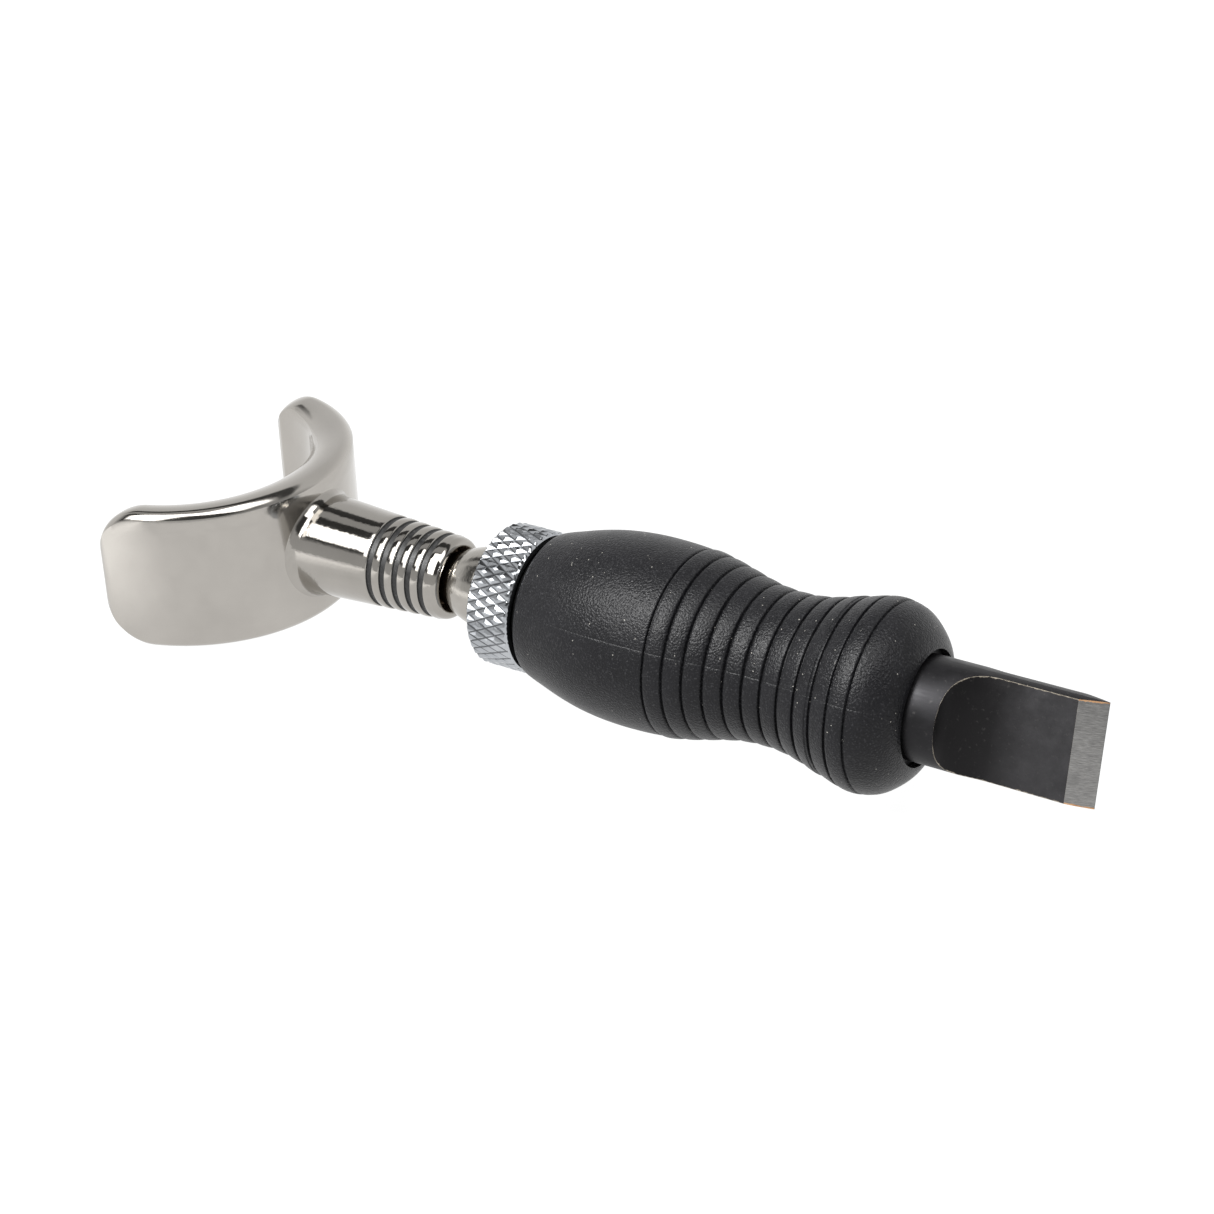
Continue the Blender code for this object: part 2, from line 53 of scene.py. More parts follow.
# ---------------------------------------------------------------- materials
class Nodes:
    """A short way to write the node tree of a material or of the world."""

    def __init__(self, owner, shader="Principled BSDF", place="Object"):
        owner.use_nodes = True
        self.owner = owner
        self.tree = owner.node_tree
        self.shader = self.tree.nodes[shader]
        self.place = self.add("ShaderNodeTexCoord").outputs[place]

    def add(self, kind, inputs=None, **settings):
        node = self.tree.nodes.new(kind)
        for key, value in settings.items():
            setattr(node, key, value)
        for key, value in (inputs or {}).items():
            self.put(node.inputs[key], value)
        return node

    def put(self, socket, value):
        if isinstance(value, bpy.types.NodeSocket):
            self.tree.links.new(value, socket)
        else:
            socket.default_value = value

    def set(self, **values):
        """Sets or links the shader's inputs, each named with _ for a space."""
        for key, value in values.items():
            self.put(self.shader.inputs[key.replace("_", " ")], value)

    def stretched(self, *scale):
        return self.add("ShaderNodeMapping", {"Vector": self.place, "Scale": scale}).outputs["Vector"]

    def parts(self, vector):
        return self.add("ShaderNodeSeparateXYZ", {"Vector": vector}).outputs

    def noise(self, scale, detail=3.0, rough=0.55, vector=None):
        node = self.add("ShaderNodeTexNoise", {
            "Vector": vector or self.place, "Scale": scale, "Detail": detail, "Roughness": rough,
        })
        return node.outputs["Fac"]

    def cells(self, scale):
        return self.add("ShaderNodeTexVoronoi", {"Vector": self.place, "Scale": scale}).outputs["Distance"]

    def ramp(self, value, *stops):
        """Colours or greys by value, each stop a place and a tone."""
        node = self.add("ShaderNodeValToRGB", {"Fac": value})
        while len(node.color_ramp.elements) < len(stops):
            node.color_ramp.elements.new(0.5)
        for element, (position, tone) in zip(node.color_ramp.elements, stops):
            element.position = position
            element.color = (*tone, 1.0) if isinstance(tone, tuple) else (tone, tone, tone, 1.0)
        return node.outputs["Color"]

    def span(self, value, low, high, to_low=0.0, to_high=1.0):
        node = self.add("ShaderNodeMapRange", {
            "Value": value, "From Min": low, "From Max": high, "To Min": to_low, "To Max": to_high,
        })
        return node.outputs["Result"]

    def mix(self, factor, a, b, blend="MIX"):
        node = self.add("ShaderNodeMix", {}, data_type="RGBA", blend_type=blend)
        self.put(node.inputs["Factor"], factor)
        self.put(node.inputs["A"], a)
        self.put(node.inputs["B"], b)
        return node.outputs["Result"]

    def math(self, operation, a, b=0.0):
        node = self.add("ShaderNodeMath", operation=operation)
        self.put(node.inputs[0], a)
        self.put(node.inputs[1], b)
        return node.outputs["Value"]

    def bump(self, height, distance, strength=1.0, normal=None):
        node = self.add("ShaderNodeBump", {"Height": height, "Distance": distance, "Strength": strength})
        if normal is not None:
            self.put(node.inputs["Normal"], normal)
        return node.outputs["Normal"]


def plated(name, light, dark, rough, ripple, scratch):
    """Plated metal: cloudy colour, patchy polish, orange-peel ripple in mm and hairline scratches."""
    n = Nodes(bpy.data.materials.new(name))
    cloud = n.noise(260.0, 4.0)
    wear = n.noise(900.0, 5.0, 0.65)
    hair = n.noise(1.0, 2.0, 0.5, n.stretched(900.0, 9000.0, 9000.0))
    patches = n.span(wear, 0.35, 0.75, rough * 0.75, rough * 1.35)
    peel = n.bump(n.noise(1700.0, 3.0), ripple * MM)
    n.set(
        Metallic=1.0,
        Base_Color=n.ramp(cloud, (0.3, dark), (0.7, light)),
        Roughness=n.math("ADD", patches, n.span(hair, 0.55, 0.8, 0.0, scratch)),
        Normal=n.bump(hair, 0.0006 * MM, 0.5, peel),
    )
    return n.owner


def lacquer():
    """The black in the stem's grooves, chipped here and there."""
    n = Nodes(bpy.data.materials.new("groove_lacquer"))
    chips = n.noise(2600.0, 4.0, 0.6)
    n.set(
        Base_Color=n.ramp(chips, (0.35, 0.004), (0.62, 0.012), (0.74, 0.06)),
        Roughness=n.span(chips, 0.3, 0.7, 0.35, 0.6),
        Normal=n.bump(chips, 0.012 * MM),
    )
    return n.owner


def rubber():
    """Moulded black rubber: fine leathery grain, a dusty bloom and a few pale specks."""
    n = Nodes(bpy.data.materials.new("grip_rubber"))
    bloom = n.noise(170.0, 4.0, 0.6)
    grain = n.noise(5600.0, 2.0, 0.5)
    base = n.ramp(bloom, (0.3, (0.004, 0.004, 0.0048)), (0.72, (0.0075, 0.0075, 0.0088)))
    tone = n.mix(n.span(grain, 0.56, 0.74), base, (0.026, 0.026, 0.028, 1.0))
    dots = n.math("LESS_THAN", n.cells(1300.0), 0.075)
    specks = n.math("MULTIPLY", dots, n.math("GREATER_THAN", n.noise(700.0, 1.0), 0.5))
    height = n.math("ADD", grain, n.math("MULTIPLY", n.cells(4800.0), -0.6))
    n.set(
        Base_Color=n.mix(specks, tone, (0.24, 0.23, 0.21, 1.0)),
        Roughness=n.span(bloom, 0.3, 0.7, 0.32, 0.40),
        Specular_IOR_Level=0.2,
        Normal=n.bump(height, 0.052 * MM),
    )
    return n.owner


def nitrile_and_gap_shade():
    """The seal: black, dull and a little dusty; its near-black tone is partly painted shade for the gap it
    sits in.
    """
    n = Nodes(bpy.data.materials.new("seal_nitrile_and_gap_shade"))
    dust = n.noise(1500.0, 4.0, 0.6)
    n.set(
        Base_Color=n.ramp(dust, (0.4, 0.002), (0.75, 0.005)),
        Roughness=0.7,
        Specular_IOR_Level=0.08,
        Normal=n.bump(dust, 0.01 * MM),
    )
    return n.owner


def near_edge(n, start):
    """1 from a radius in mm outwards, along the edges where the milled faces meet the round of the shank."""
    back = BARREL.inverted()
    node = n.add("ShaderNodeMapping", {
        "Vector": n.place, "Location": back.translation, "Rotation": back.to_euler(),
    })
    split = n.parts(node.outputs["Vector"])
    squares = [n.math("POWER", n.math("ABSOLUTE", split[axis]), 2.0) for axis in "YZ"]
    ragged = n.span(n.noise(1900.0, 3.0, 0.6), 0.3, 0.7, -0.06, 0.06)
    radius = n.math("ADD", n.math("DIVIDE", n.math("SQRT", n.math("ADD", *squares)), MM), ragged)
    return n.span(radius, start, start + 0.03)


def black_oxide(name, base, rough, milled=False):
    """Blacked steel: mottled oxide, lengthwise marks and scuffs; a milled face carries painted shade over its
    run-out and is worn too.
    """
    n = Nodes(bpy.data.materials.new(name))
    mottle = n.noise(520.0, 6.0, 0.68)
    spots = n.noise(2400.0, 4.0, 0.7)
    marks = n.noise(1.0, 3.0, 0.6, n.stretched(700.0, 7000.0, 12000.0))
    darker = tuple(c * 0.8 for c in base)
    lighter = tuple(c * 1.3 for c in base)
    tone = n.ramp(mottle, (0.32, darker), (0.5, base), (0.72, lighter))
    if milled:
        # Painted shade: the flat darkens over its round run-out and lightens towards the bevel.
        along = n.span(n.parts(n.place)["X"], 0.034, 0.044)
        runout_painted_shade = n.ramp(along, (0.0, 0.5), (0.15, 1.0), (0.45, 0.9), (0.8, 0.0))
        tone = n.mix(runout_painted_shade, tone, (0.006, 0.0055, 0.006, 1.0))
    tone = n.mix(n.span(spots, 0.6, 0.8, 0.0, 0.32), tone, (0.12, 0.115, 0.11, 1.0))
    if milled:
        bare = n.ramp(spots, (0.35, (0.13, 0.115, 0.095)), (0.6, (0.36, 0.32, 0.26)))
        tone = n.mix(near_edge(n, 4.69), tone, bare)
    patches = n.span(mottle, 0.3, 0.7, rough, rough + 0.14)
    n.set(
        Metallic=0.75,
        Base_Color=tone,
        Roughness=n.math("ADD", patches, n.span(marks, 0.4, 0.7, 0.0, 0.06)),
        Normal=n.bump(marks, 0.0018 * MM, 0.7, n.bump(spots, 0.002 * MM)),
    )
    return n.owner


def ground_steel():
    """The honed bevel: grinding lines straight across the edge, blotches, and a coppery tint at its ends."""
    n = Nodes(bpy.data.materials.new("ground_bevel"))
    lines = n.noise(1.0, 3.0, 0.65, n.stretched(700.0, 4000.0, 26000.0))
    broad = n.noise(1.0, 2.0, 0.5, n.stretched(300.0, 900.0, 3500.0))
    blotch = n.noise(700.0, 4.0, 0.6)
    tone = n.mix(n.span(lines, 0.35, 0.68), (0.16, 0.158, 0.155, 1.0), (0.33, 0.325, 0.315, 1.0))
    tone = n.mix(n.span(blotch, 0.52, 0.72, 0.0, 0.6), tone, (0.15, 0.148, 0.145, 1.0))
    copper = n.ramp(blotch, (0.35, (0.42, 0.2, 0.08)), (0.6, (0.6, 0.36, 0.2)))
    n.set(
        Metallic=1.0,
        Base_Color=n.mix(near_edge(n, 4.62), tone, copper),
        Roughness=n.span(broad, 0.35, 0.65, 0.3, 0.42),
        Normal=n.bump(lines, 0.0022 * MM),
    )
    return n.owner


def worn_edge():
    """Bare steel with a little rust tint where the oxide has rubbed off an edge."""
    n = Nodes(bpy.data.materials.new("worn_edge"))
    patch = n.noise(1100.0, 4.0, 0.7)
    tone = n.ramp(patch, (0.35, (0.2, 0.185, 0.165)), (0.55, (0.45, 0.4, 0.34)), (0.75, (0.62, 0.5, 0.38)))
    rough = n.span(patch, 0.3, 0.7, 0.3, 0.45)
    n.set(Metallic=1.0, Base_Color=tone, Roughness=rough, Normal=n.bump(patch, 0.002 * MM))
    return n.owner


def rusty_edge():
    """The coppery corners at the ends of the bevel."""
    n = Nodes(bpy.data.materials.new("coppery_edge"))
    patch = n.noise(900.0, 4.0, 0.6)
    tone = n.ramp(patch, (0.35, (0.30, 0.17, 0.09)), (0.6, (0.45, 0.30, 0.19)), (0.8, (0.5, 0.46, 0.42)))
    rough = n.span(patch, 0.3, 0.7, 0.35, 0.5)
    n.set(Metallic=0.8, Base_Color=tone, Roughness=rough, Normal=n.bump(patch, 0.003 * MM))
    return n.owner


def machined(name, light, dark, rough):
    """A turned or ground piece inside the tool: fine tool marks."""
    n = Nodes(bpy.data.materials.new(name))
    marks = n.noise(1.0, 3.0, 0.6, n.stretched(11000.0, 900.0, 900.0))
    cloud = n.noise(400.0, 4.0)
    n.set(
        Metallic=1.0,
        Base_Color=n.ramp(cloud, (0.3, dark), (0.7, light)),
        Roughness=n.span(marks, 0.3, 0.7, rough * 0.7, rough * 1.3),
        Normal=n.bump(marks, 0.002 * MM),
    )
    return n.owner


NICKEL = plated("polished_nickel", (0.425, 0.405, 0.375), (0.40, 0.38, 0.352), 0.11, 0.0035, 0.05)
# The stem's nickel is a darker copy of the saddle's nickel, and its darker tone is painted shade.
STEM_NICKEL_PAINTED_SHADE = plated("cast_nickel_painted_shade", (0.37, 0.352, 0.326), (0.34, 0.323, 0.298), 0.07, 0.012, 0.05)
NECK_NICKEL = plated("satin_nickel", (0.42, 0.40, 0.368), (0.36, 0.343, 0.315), 0.13, 0.02, 0.04)
CHROME = plated("knurled_chrome", (0.47, 0.485, 0.505), (0.37, 0.385, 0.405), 0.12, 0.002, 0.06)
# The bottoms of the knurl's grooves are in darker chrome: painted shade in the grooves.
CHROME_GROOVE_PAINTED_SHADE = plated("knurl_groove_painted_shade", (0.19, 0.195, 0.205), (0.12, 0.125, 0.13), 0.25, 0.002, 0.06)
RUBBER = rubber()
SEAL_RUBBER_AND_GAP_SHADE = nitrile_and_gap_shade()
OXIDE = black_oxide("black_oxide", (0.014, 0.0136, 0.015), 0.37)
OXIDE_MILLED = black_oxide("black_oxide_milled", (0.036, 0.035, 0.037), 0.3, True)
OXIDE_SCREW = black_oxide("black_oxide_screw", (0.03, 0.03, 0.032), 0.35)
GROUND = ground_steel()
EDGE = worn_edge()
COPPERY = rusty_edge()
LACQUER = lacquer()
BRIGHT = machined("ground_steel", (0.68, 0.68, 0.70), (0.58, 0.58, 0.60), 0.22)
SPRING = machined("spring_steel", (0.42, 0.42, 0.44), (0.32, 0.32, 0.34), 0.35)
BRONZE = machined("oily_bronze", (0.62, 0.41, 0.22), (0.48, 0.30, 0.15), 0.38)
BORE = machined("bore_nickel", (0.20, 0.15, 0.105), (0.11, 0.08, 0.055), 0.4)
BRASS = machined("cage_brass", (0.78, 0.61, 0.33), (0.66, 0.5, 0.25), 0.3)


# ---------------------------------------------------------------- mesh helpers
def added(name, data):
    item = bpy.data.objects.new(name, data)
    bpy.context.scene.collection.objects.link(item)
    return item


@contextlib.contextmanager
def editing(mesh):
    """The mesh as a bmesh, written back at the end."""
    shape = bmesh.new()
    shape.from_mesh(mesh)
    yield shape
    shape.to_mesh(mesh)
    shape.free()


def closed_mesh(name, verts, faces, where):
    """A mesh from points in mm in the tool's or the barrel's frame, with its faces all turned one way."""
    mesh = bpy.data.meshes.new(name)
    mesh.from_pydata([where @ (Vector(v) * MM) for v in verts], [], faces)
    with editing(mesh) as shape:
        bmesh.ops.recalc_face_normals(shape, faces=shape.faces)
    return mesh


def shade(shape, sharp):
    """Smooth shading, but for the edges that turn by more than an angle in degrees."""
    for face in shape.faces:
        face.smooth = True
    for edge in shape.edges:
        if len(edge.link_faces) == 2:
            edge.smooth = edge.calc_face_angle() < math.radians(sharp)


def piece(name, mesh_data, where, body, replaces, materials, face_materials=None, sharp=35.0):
    """A piece of the visual model, riding on a body in place of the named CAD nodes."""
    mesh = closed_mesh(name, *mesh_data, where)
    for material in materials:
        mesh.materials.append(material)
    if face_materials:
        mesh.polygons.foreach_set("material_index", face_materials)
    with editing(mesh) as shape:
        shade(shape, sharp)
    item = added(name, mesh)
    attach(item, body)
    if replaces:
        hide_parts(*replaces)
    return item


def spun(profile, angles, radius_at=None):
    """Verts and faces of a closed profile of (x, r) pairs turned about the tool's axis."""
    verts = []
    for a in angles:
        for x, r in profile:
            if radius_at:
                r = radius_at(x, r, a)
            verts.append((x, -r * math.sin(a), r * math.cos(a)))
    size = len(profile)
    turns = len(angles)
    faces = []
    for i in range(turns):
        j = (i + 1) % turns
        for k in range(size):
            m = (k + 1) % size
            faces.append((i * size + k, i * size + m, j * size + m, j * size + k))
    return verts, faces


def even_angles(count):
    return [2 * math.pi * i / count for i in range(count)]


def smooth_path(points, steps):
    """A Catmull-Rom path through the points, a given number of steps to each span."""
    padded = [points[0]] + list(points) + [points[-1]]
    path = []
    for i in range(1, len(padded) - 2):
        p0, p1, p2, p3 = (Vector(p) for p in padded[i - 1:i + 3])
        for s in range(steps):
            t = s / steps
            slope = (p2 - p0) * t
            bend = (2 * p0 - 5 * p1 + 4 * p2 - p3) * t * t
            twist = (3 * p1 - 3 * p2 + p3 - p0) * t ** 3
            path.append(tuple(0.5 * (2 * p1 + slope + bend + twist)))
    path.append(tuple(points[-1]))
    return path


def rounded(points, radius):
    """The path with each inner corner rounded off, for a turned profile."""
    steps = 5
    path = [points[0]]
    for before, corner, after in zip(points, points[1:], points[2:]):
        c = Vector(corner)
        a = Vector(before) - c
        b = Vector(after) - c
        reach = min(radius, a.length * 0.45, b.length * 0.45)
        p = c + a.normalized() * reach
        q = c + b.normalized() * reach
        for s in range(steps + 1):
            t = s / steps
            path.append(tuple((1 - t) ** 2 * p + 2 * t * (1 - t) * c + t * t * q))
    path.append(points[-1])
    return path


def cut(item, cutter):
    """Cuts one closed mesh from another for good, and removes the cutter."""
    step = item.modifiers.new("cut", "BOOLEAN")
    step.object = cutter
    step.solver = "EXACT"
    bpy.context.view_layer.update()
    graph = bpy.context.evaluated_depsgraph_get()
    made = bpy.data.meshes.new_from_object(item.evaluated_get(graph))
    item.modifiers.clear()
    item.data = made
    bpy.data.objects.remove(cutter)


def drill(item, where, x, radius, inner, outer):
    """Cuts a round hole for a set screw into the side that faces away, from one depth to another."""
    mesh = bpy.data.meshes.new("drill")
    turn = Matrix.Rotation(math.pi / 2, 4, "X")
    place = where @ Matrix.Translation((x * MM, (inner + outer) / 2 * MM, 0.0)) @ turn
    with editing(mesh) as shape:
        bmesh.ops.create_cone(
            shape, cap_ends=True, segments=48, radius1=radius * MM, radius2=radius * MM,
            depth=(outer - inner) * MM,
        )
        bmesh.ops.transform(shape, matrix=place, verts=shape.verts)
    cut(item, added("drill", mesh))
    with editing(item.data) as shape:
        for edge in shape.edges:
            if len(edge.link_faces) == 2 and edge.calc_face_angle() > math.radians(50):
                edge.smooth = False


# ---------------------------------------------------------------- yoke
SADDLE_X = -41.4
SADDLE_R = 15.5
SADDLE_ENDS = (math.radians(-90.38), math.radians(93.6))
SADDLE_TOP = 7.45
NOSE_REACH = 1.7
CORNER_REACH = 5.2
CORNER_DROP = 5.4


def quarter_round(part):
    """How far a quarter round has dropped, from 1 at its start to 0 at its crest."""
    return 1 - math.sqrt(max(0.0, 1 - (1 - min(1.0, part)) ** 2))


def rim_profile(thick, top, outer_drop, inner_drop):
    """(depth from the outer face, height) over a rim: a tight outer round, a ridge, a long inner slope."""
    ridge = min(1.1, thick * 0.42)
    outer_drop = min(outer_drop, top * 0.5)
    inner_drop = min(inner_drop, top * 0.66)
    low = math.radians(24)
    high = math.radians(78)
    points = []
    for i in range(11):
        turn = low + (math.pi / 2 - low) * i / 10
        depth = 1 - math.cos(turn) / math.cos(low)
        rise = (math.sin(turn) - math.sin(low)) / (1 - math.sin(low))
        points.append((ridge * depth, top - outer_drop * (1 - rise)))
    for i in range(1, 17):
        turn = high * i / 16
        depth = math.sin(turn) / math.sin(high)
        drop = (1 - math.cos(turn)) / (1 - math.cos(high))
        points.append((ridge + (thick - ridge) * depth, top - inner_drop * drop))
    return points


def saddle_section(angle):
    """A cross-section: flat outside, thicker in the middle of the band, its rims sloping in to the finger."""
    reach = SADDLE_R * min(angle - SADDLE_ENDS[0], SADDLE_ENDS[1] - angle)
    middle = max(0.0, math.cos(angle))
    side = math.sin(angle) ** 2
    nose = max(0.05, 1 - quarter_round(reach / NOSE_REACH))
    full = 2.6 + 1.7 * middle ** 0.75
    start = SADDLE_R - full * 0.38 * (1 - nose)
    top = SADDLE_TOP - 0.25 * side - 0.3 * (1 - nose) - CORNER_DROP * quarter_round(reach / CORNER_REACH)
    thick = full * nose
    rim = rim_profile(thick, top, 0.85 - 0.2 * side, 0.4 + 1.2 * middle)
    low = rim[-1][1]
    inside = [(thick + 0.05 * nose * math.cos(math.pi / 2 * i / 6), low * i / 6) for i in range(5, -6, -1)]
    outside = [(0.0, -rim[0][1] + rim[0][1] * i / 4) for i in range(1, 8)]
    points = rim + inside + [(depth, -up) for depth, up in reversed(rim)] + outside
    return [
        (SADDLE_X + (start - depth) * math.cos(angle), (start - depth) * math.sin(angle), up)
        for depth, up in points
    ]


def saddle_piece():
    """The finger saddle: a broad curved band with rounded corners and a nose at each end."""
    stations = 220
    middle = sum(SADDLE_ENDS) / 2
    half = (SADDLE_ENDS[1] - SADDLE_ENDS[0]) / 2
    turns = [math.pi / 2 * (2 * i / stations - 1) for i in range(stations + 1)]
    rings = [saddle_section(middle + half * math.sin(turn)) for turn in turns]
    size = len(rings[0])
    faces = []
    for i in range(stations):
        for j in range(size):
            k = (j + 1) % size
            faces.append((i * size + j, i * size + k, (i + 1) * size + k, (i + 1) * size + j))
    faces.append(tuple(range(size)))
    faces.append(tuple(range(stations * size, (stations + 1) * size)))
    verts = [point for ring in rings for point in ring]
    piece("finger_saddle", (verts, faces), TOOL, "yoke", ["yoke"], [NICKEL], sharp=34.0)


STEM_ROOT, STEM_ROOT_R = -28.0, 5.05
STEM_END, STEM_END_R = -10.4, 4.0
FILLET = 0.95
GROOVES = 5
GROOVE_FIRST = -17.8
GROOVE_PITCH = 1.42
GROOVE_HALF = 0.3
# Each: (distance from the groove's middle, depth)
GROOVE_SHAPE = (
    (-0.46, 0.0), (-0.37, 0.02), (-0.3, 0.09), (-0.25, 0.22),
    (0.25, 0.22), (0.3, 0.09), (0.37, 0.02), (0.46, 0.0),
)


def stem_radius(x):
    return STEM_ROOT_R + (STEM_END_R - STEM_ROOT_R) * (x - STEM_ROOT) / (STEM_END - STEM_ROOT)


def stem_profile():
    """The stem's outline: a fillet at the saddle, the grooves, a rounded mouth, and the bore back again."""
    root = stem_radius(-24.9)
    outer = [(-28.4, 2.6), (-28.4, root + FILLET), (-26.0, root + FILLET)]
    for i in range(1, 13):
        turn = math.pi / 2 * i / 12
        outer.append((-25.0 - math.cos(turn), root + FILLET * (1 - math.sin(turn))))
    x = -24.8
    while x < -18.6:
        outer.append((x, stem_radius(x)))
        x += 0.6
    for g in range(GROOVES):
        middle = GROOVE_FIRST + GROOVE_PITCH * g
        outer += [(middle + offset, stem_radius(middle + offset) - depth) for offset, depth in GROOVE_SHAPE]
        land = middle + GROOVE_PITCH / 2
        outer.append((land, stem_radius(land) + 0.025))
    for i in range(11):
        turn = math.pi / 2 * i / 10
        outer.append((STEM_END - 0.75 * (1 - math.sin(turn)), STEM_END_R - 0.62 * (1 - math.cos(turn))))
    mouth = ((0.02, 3.3), (0.1, 3.2), (0.75, 2.82), (0.9, 2.78), (1.5, 2.74), (1.7, 2.36))
    return outer + [(STEM_END - depth, r) for depth, r in mouth] + [(-28.3, 2.36)]


def stem_piece():
    """The grooved stem, its root bent to the round of the saddle, with the hole for its set screw."""
    outer = stem_profile()
    verts, faces = spun(outer, even_angles(160))
    for i, (x, y, z) in enumerate(verts):
        bend = min(1.0, max(0.0, (-22.5 - x) / 2.5))
        verts[i] = (x - (SADDLE_R - math.sqrt(SADDLE_R ** 2 - y * y)) * bend, y, z)
    kinds = []
    for (x0, r0), (x1, r1) in zip(outer, outer[1:] + outer[:1]):
        x = (x0 + x1) / 2
        r = (r0 + r1) / 2
        middles = (GROOVE_FIRST + GROOVE_PITCH * g for g in range(GROOVES))
        lacquered = r > 3.2 and stem_radius(x) - r > 0.05 and any(abs(x - m) <= GROOVE_HALF for m in middles)
        bored = r < 3.25 and x > -12.5
        kinds.append(1 if lacquered else 2 if bored else 0)
    kinds *= len(faces) // len(outer)
    materials = [STEM_NICKEL_PAINTED_SHADE, LACQUER, BORE]
    item = piece("stem", (verts, faces), TOOL, "yoke", [], materials, kinds, sharp=26.0)
    drill(item, TOOL, YOKE_SCREW_X, 1.5, 0.4, 8.0)


# ---------------------------------------------------------------- spindle
NECK = (
    (-13.4, 2.25), (-12.2, 2.3), (-11.2, 2.52), (-10.3, 2.86), (-9.5, 3.22),
    (-8.7, 3.52), (-7.9, 3.75), (-7.0, 3.89), (-6.0, 3.95), (-5.6, 3.97),
)
JOURNALS = (
    (-5.4, 3.98), (-5.2, 4.1), (-1.2, 4.1), (-0.9, 3.1), (3.1, 3.1), (3.1, 2.45), (6.35, 2.45), (6.35, 2.05),
    (7.05, 2.05), (7.05, 2.45), (7.7, 2.45), (8.2, 2.0), (14.8, 2.0), (15.3, 1.5), (15.3, 0.02),
)


def spindle_piece():
    """The post, the flared neck and the journals, turned in one piece."""
    profile = [(-27.9, 0.02), (-27.9, 2.0), (-27.6, 2.25)] + smooth_path(NECK, 6) + list(JOURNALS)
    shape = spun(profile, even_angles(96))
    piece("spindle_turned", shape, TOOL, "spindle", ["spindle"], [NECK_NICKEL], sharp=30.0)


# ---------------------------------------------------------------- collar and seal
KNURL_ROUND = 40
KNURL_PITCH = 2.02
KNURL_STEPS = 20
KNURL_FLAT = 0.3
KNURL_DEPTH = 0.18
KNURL_ROOT_R = 6.55
KNURL_MARK_R = 6.74
COLLAR_LEFT = -5.2
COLLAR_RIGHT = -0.7


def knurl_depth(around, along):
    """0 on a diamond's small flat, 1 at the bottom of the grooves; both lengths in diamonds."""
    low = max(abs(2 * (t - math.floor(t)) - 1) for t in (around + along, around - along))
    return max(0.0, (low - KNURL_FLAT) / (1 - KNURL_FLAT))


def collar_piece():
    """A head cut with two sets of spiral grooves, its mesh split along them so the diamonds stay crisp."""
    step = KNURL_PITCH / KNURL_STEPS
    rows = int((COLLAR_RIGHT - COLLAR_LEFT - 0.3) / step)
    start = COLLAR_LEFT + 0.17
    end = start + rows * step
    profile = [(COLLAR_LEFT, 6.1), (COLLAR_LEFT + 0.05, 6.3), (COLLAR_LEFT + 0.1, 6.45)]
    first = len(profile)
    profile += [(start + step * i, KNURL_MARK_R) for i in range(rows + 1)]
    profile += [(COLLAR_RIGHT - 0.04, 6.5), (COLLAR_RIGHT, 6.44), (COLLAR_RIGHT, 5.1)]
    profile += [(2.6, 5.1), (2.6, 4.25), (COLLAR_LEFT + 0.25, 4.25), (COLLAR_LEFT, 4.5)]

    def radius_at(x, r, a):
        if r != KNURL_MARK_R:
            return r
        fade = min(1.0, (x - start + 0.08) / 0.2, (end + 0.1 - x) / 0.15)
        cut_away = knurl_depth(KNURL_ROUND * a / (2 * math.pi), (x - start) / KNURL_PITCH)
        return KNURL_ROOT_R + KNURL_DEPTH * fade - KNURL_DEPTH * fade * cut_away

    verts, quads = spun(profile, even_angles(KNURL_ROUND * KNURL_STEPS), radius_at)
    size = len(profile)
    faces = []
    kinds = []
    for a, b, c, d in quads:
        row = a % size - first
        if not 0 <= row < rows:
            faces.append((a, b, c, d))
            kinds.append(0)
            continue
        around = (a // size + 0.5) / KNURL_STEPS
        along = (row + 0.5) / KNURL_STEPS
        away = [abs(t - round(t)) for t in (around + along, around - along)]
        faces += [(a, b, d), (b, c, d)] if away[0] < away[1] else [(a, b, c), (a, c, d)]
        # Faces near the bottoms of the grooves get the darker chrome, as painted shade.
        kinds += [1, 1] if min(away) < 1.5 / KNURL_STEPS else [0, 0]
    shape = (verts, faces)
    metals = [CHROME, CHROME_GROOVE_PAINTED_SHADE]
    piece("knurled_collar", shape, TOOL, "barrel", ["collar"], metals, kinds, sharp=26.0)


def seal_piece():
    """The black ring in the gap between the collar and the grip: partly the seal, partly painted shade of the
    gap.
    """
    shape = spun(rounded([(-0.65, 5.3), (-0.65, 5.85), (-0.03, 5.95), (-0.03, 5.3)], 0.08), even_angles(160))
    piece("gap_seal", shape, TOOL, "barrel", ["collar_seal"], [SEAL_RUBBER_AND_GAP_SHADE], sharp=50.0)


# ---------------------------------------------------------------- grip
GRIP_PATH = smooth_path((
    (0.0, 6.6), (0.25, 6.87), (1.0, 7.15), (2.0, 7.45), (4.0, 8.03), (6.0, 8.47), (8.0, 8.74),
    (10.0, 8.86), (12.0, 8.85), (14.0, 8.74), (16.0, 8.46), (18.0, 8.02), (20.0, 7.5),
    (22.0, 7.06), (24.0, 6.88), (26.0, 6.93), (28.0, 7.27), (30.0, 7.83), (32.0, 8.44),
    (33.0, 8.68), (34.0, 8.74), (35.0, 8.59), (36.0, 8.17), (37.0, 7.38), (37.7, 6.6),
    (38.15, 5.75), (38.3, 5.25),
), 8)
GRIP_MOUTH = ((38.22, 5.6), (38.16, 5.5), (38.0, 5.43), (37.55, 5.35), (37.5, 6.0), (0.0, 6.0))
RINGS = 12
RING_PITCH = 1.79
FIRST_RING = 14.8
LAST_RING = 34.49
SEAM_ANGLES = (math.radians(81), math.radians(261))
SEAM_STEPS = (-0.022, -0.013, -0.0075, -0.003, 0.0, 0.003, 0.0075, 0.013, 0.022)


